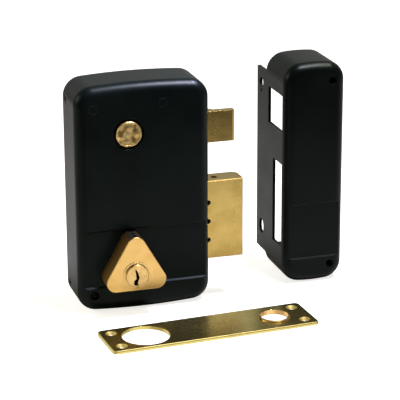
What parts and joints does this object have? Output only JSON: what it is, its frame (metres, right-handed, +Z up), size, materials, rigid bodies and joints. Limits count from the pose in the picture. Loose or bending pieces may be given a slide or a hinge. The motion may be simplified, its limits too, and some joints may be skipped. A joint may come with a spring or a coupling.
{
  "type": "rim box lock",
  "caption": "Surface-mounted door lock with a sliding deadbolt, spring latch, push button, keyed cylinder, boxed keeper and outside plate.",
  "frame": {"origin": "centre of the case's four fixing holes, on the face that meets the door", "axes": "+X across the lock towards the bolts, +Y into the door, +Z up"},
  "size_m": [0.1723, 0.1284, 0.141],
  "materials": {
    "case_cover": "fine moulded grain",
    "back_plate": "black lacquer",
    "side_screws": "black lacquer",
    "front_screw": "black lacquer",
    "cylinder_body": "polished",
    "cylinder_plug": "polished",
    "plug_clip": "zinc plated",
    "key_pins": "brushed",
    "driver_pins": "zinc plated",
    "pin_springs": "zinc plated",
    "chamber_plugs": "polished",
    "foot_screws": "zinc plated",
    "key_gear": "zinc plated",
    "idler_gear": "zinc plated",
    "idler_post": "zinc plated",
    "guide_stud": "zinc plated",
    "deadbolt": "brushed",
    "saw_pin": "zinc plated",
    "bolt_rivets": "zinc plated",
    "bolt_tail": "zinc plated",
    "brake_spring": "zinc plated",
    "brake_post": "zinc plated",
    "latch": "brushed",
    "latch_peg": "zinc plated",
    "latch_spring": "zinc plated",
    "latch_guide": "die cast zinc",
    "guide_screws": "zinc plated",
    "push_button": "polished",
    "button_bush": "fine moulded grain",
    "keeper_cover": "fine moulded grain",
    "strike_plate": "black lacquer",
    "strike_lugs": "black lacquer",
    "keeper_screws": "zinc plated",
    "outer_plate": "polished",
    "plate_collar": "polished"
  },
  "bodies": {
    "lock_set": {"case_cover": "case_cover", "back_plate": "back_plate", "side_screws": "side_screws", "front_screw": "front_screw", "cylinder_body": "cylinder_body", "driver_pins": "driver_pins", "pin_springs": "pin_springs", "chamber_plugs": "chamber_plugs", "foot_screws": "foot_screws", "idler_post": "idler_post", "guide_stud": "guide_stud", "brake_spring": "brake_spring", "brake_post": "brake_post", "latch_spring": "latch_spring", "latch_guide": "latch_guide", "guide_screws": "guide_screws", "button_bush": "button_bush", "keeper_cover": "keeper_cover", "strike_plate": "strike_plate", "strike_lugs": "strike_lugs", "keeper_screws": "keeper_screws", "outer_plate": "outer_plate", "plate_collar": "plate_collar"},
    "plug": {"cylinder_plug": "cylinder_plug", "plug_clip": "plug_clip", "key_pins": "key_pins", "key_gear": "key_gear"},
    "idler": {"idler_gear": "idler_gear"},
    "bolt": {"deadbolt": "deadbolt", "saw_pin": "saw_pin", "bolt_rivets": "bolt_rivets", "bolt_tail": "bolt_tail"},
    "spring_latch": {"latch": "latch", "latch_peg": "latch_peg"},
    "button": {"push_button": "push_button"}
  },
  "joints": [
    {"name": "deadbolt_slide", "type": "slide", "parent": "lock_set", "child": "bolt", "axis": [1, 0, 0], "range_m": [-0.02094, 0]},
    {"name": "idler_turn", "type": "hinge", "parent": "lock_set", "child": "idler", "pos_m": [0, 0, -0.02564], "axis": [0, -1, 0], "range_deg": [-240, 0]},
    {"name": "plug_turn", "type": "hinge", "parent": "lock_set", "child": "plug", "pos_m": [-0.009, 0, -0.0435], "axis": [0, -1, 0], "range_deg": [0, 720]},
    {"name": "latch_slide", "type": "slide", "parent": "lock_set", "child": "spring_latch", "axis": [1, 0, 0], "range_m": [-0.0154, 0], "stiffness_N_per_m": 150, "springref_m": 0.01, "deforming": ["latch_spring"]},
    {"name": "button_press", "type": "slide", "parent": "lock_set", "child": "button", "axis": [0, 1, 0], "range_m": [0, 0.007]}
  ],
  "couplings": [
    {"joint": "idler_turn", "follows": "deadbolt_slide", "rad_per_m": 200},
    {"joint": "plug_turn", "follows": "deadbolt_slide", "rad_per_m": -600},
    {"joint": "button_press", "follows": "latch_slide", "ratio": -0.45454}
  ]
}
